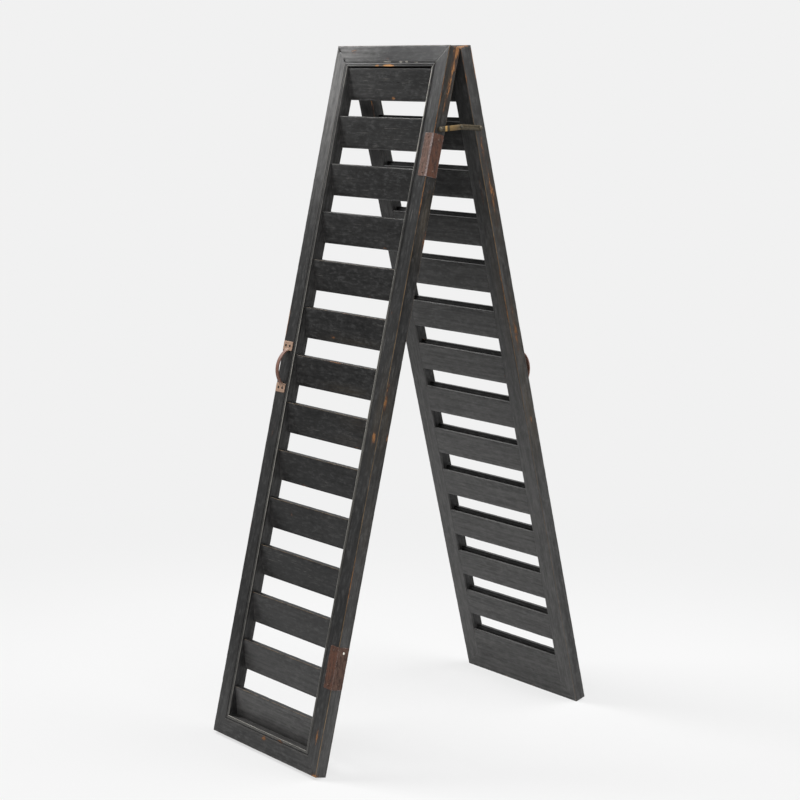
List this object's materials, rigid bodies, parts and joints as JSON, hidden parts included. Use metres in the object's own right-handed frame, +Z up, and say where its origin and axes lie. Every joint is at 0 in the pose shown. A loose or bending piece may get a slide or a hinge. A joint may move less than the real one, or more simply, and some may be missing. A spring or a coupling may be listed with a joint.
{
  "type": "folding ladder display stand",
  "caption": "A-frame display stand: louvred wooden panels hinged at the top, with slats as rungs, folding brass stays, bow handles and corner plates",
  "frame": {"origin": "on the floor, midway between the two panels and midway along their width, the stand open", "axes": "+Z up, +X along the top hinges, the front panel (the one facing the camera in the picture) towards -Y and the rear panel towards +Y"},
  "size_m": [0.4542, 0.9308, 1.7673],
  "materials": {
    "painted_wood": "thin charcoal paint, rubbed through to brown wood on arrises and ends",
    "rusty_steel": "thin sheet with an even coat of brown rust",
    "nail_steel": "dull heads, some rubbed bright",
    "worn_iron": "worn tan paint over rusty iron",
    "dark_screws": "nearly black oxidised steel",
    "hinge_steel": "dull steel with light rust",
    "screw_steel": "dark dull steel",
    "brass": "dull olive tarnish, bright on bends and rivet heads"
  },
  "bodies": {
    "front_panel": {"front_angle_plate_nails": "nail_steel", "front_angle_plates": "rusty_steel", "front_boards": "painted_wood", "front_handle": "worn_iron", "front_handle_screws": "dark_screws", "front_hinge_leaves": "hinge_steel", "front_hinge_screws": "screw_steel", "front_rail_bottom": "painted_wood", "front_rail_top": "painted_wood", "front_slat_01": "painted_wood", "front_slat_02": "painted_wood", "front_slat_03": "painted_wood", "front_slat_04": "painted_wood", "front_slat_05": "painted_wood", "front_slat_06": "painted_wood", "front_slat_07": "painted_wood", "front_slat_08": "painted_wood", "front_slat_09": "painted_wood", "front_slat_10": "painted_wood", "front_slat_11": "painted_wood", "front_slat_12": "painted_wood", "front_slat_13": "painted_wood", "front_slat_14": "painted_wood", "front_stay_screws": "screw_steel", "front_stile_left": "painted_wood", "front_stile_right": "painted_wood", "hinge_pins": "hinge_steel"},
    "rear_panel": {"rear_angle_plate_nails": "nail_steel", "rear_angle_plates": "rusty_steel", "rear_boards": "painted_wood", "rear_handle": "worn_iron", "rear_handle_screws": "dark_screws", "rear_hinge_leaves": "hinge_steel", "rear_hinge_screws": "screw_steel", "rear_rail_bottom": "painted_wood", "rear_rail_top": "painted_wood", "rear_slat_01": "painted_wood", "rear_slat_02": "painted_wood", "rear_slat_03": "painted_wood", "rear_slat_04": "painted_wood", "rear_slat_05": "painted_wood", "rear_slat_06": "painted_wood", "rear_slat_07": "painted_wood", "rear_slat_08": "painted_wood", "rear_slat_09": "painted_wood", "rear_slat_10": "painted_wood", "rear_slat_11": "painted_wood", "rear_slat_12": "painted_wood", "rear_slat_13": "painted_wood", "rear_slat_14": "painted_wood", "rear_stay_screws": "screw_steel", "rear_stile_left": "painted_wood", "rear_stile_right": "painted_wood"},
    "stay_front_right": {"stay_front_link_right": "brass", "stay_rivet_right": "brass"},
    "stay_rear_right": {"stay_rear_link_right": "brass"},
    "stay_front_left": {"stay_front_link_left": "brass"},
    "stay_rear_left": {"stay_rear_link_left": "brass", "stay_rivet_left": "brass"}
  },
  "joints": [
    {"name": "fold", "type": "hinge", "parent": "front_panel", "child": "rear_panel", "pos_m": [0, 0, 1.75935], "axis": [-1, 0, 0], "range_deg": [0, 27.6]},
    {"name": "stay_front_right_turn", "type": "hinge", "parent": "front_panel", "child": "stay_front_right", "pos_m": [0.22, -0.06544, 1.56587], "axis": [1, 0, 0], "range_deg": [0, 57.41]},
    {"name": "stay_rear_right_turn", "type": "hinge", "parent": "rear_panel", "child": "stay_rear_right", "pos_m": [0.22, 0.06544, 1.56587], "axis": [-1, 0, 0], "range_deg": [0, 57.41]},
    {"name": "stay_front_left_turn", "type": "hinge", "parent": "front_panel", "child": "stay_front_left", "pos_m": [-0.22, -0.06544, 1.56587], "axis": [1, 0, 0], "range_deg": [0, 57.41]},
    {"name": "stay_rear_left_turn", "type": "hinge", "parent": "rear_panel", "child": "stay_rear_left", "pos_m": [-0.22, 0.06544, 1.56587], "axis": [-1, 0, 0], "range_deg": [0, 57.41]}
  ],
  "couplings": [
    {"joint": "stay_front_right_turn", "follows": "fold", "ratio": 2.0765},
    {"joint": "stay_rear_right_turn", "follows": "fold", "ratio": 2.0765},
    {"joint": "stay_front_left_turn", "follows": "fold", "ratio": 2.0765},
    {"joint": "stay_rear_left_turn", "follows": "fold", "ratio": 2.0765}
  ]
}
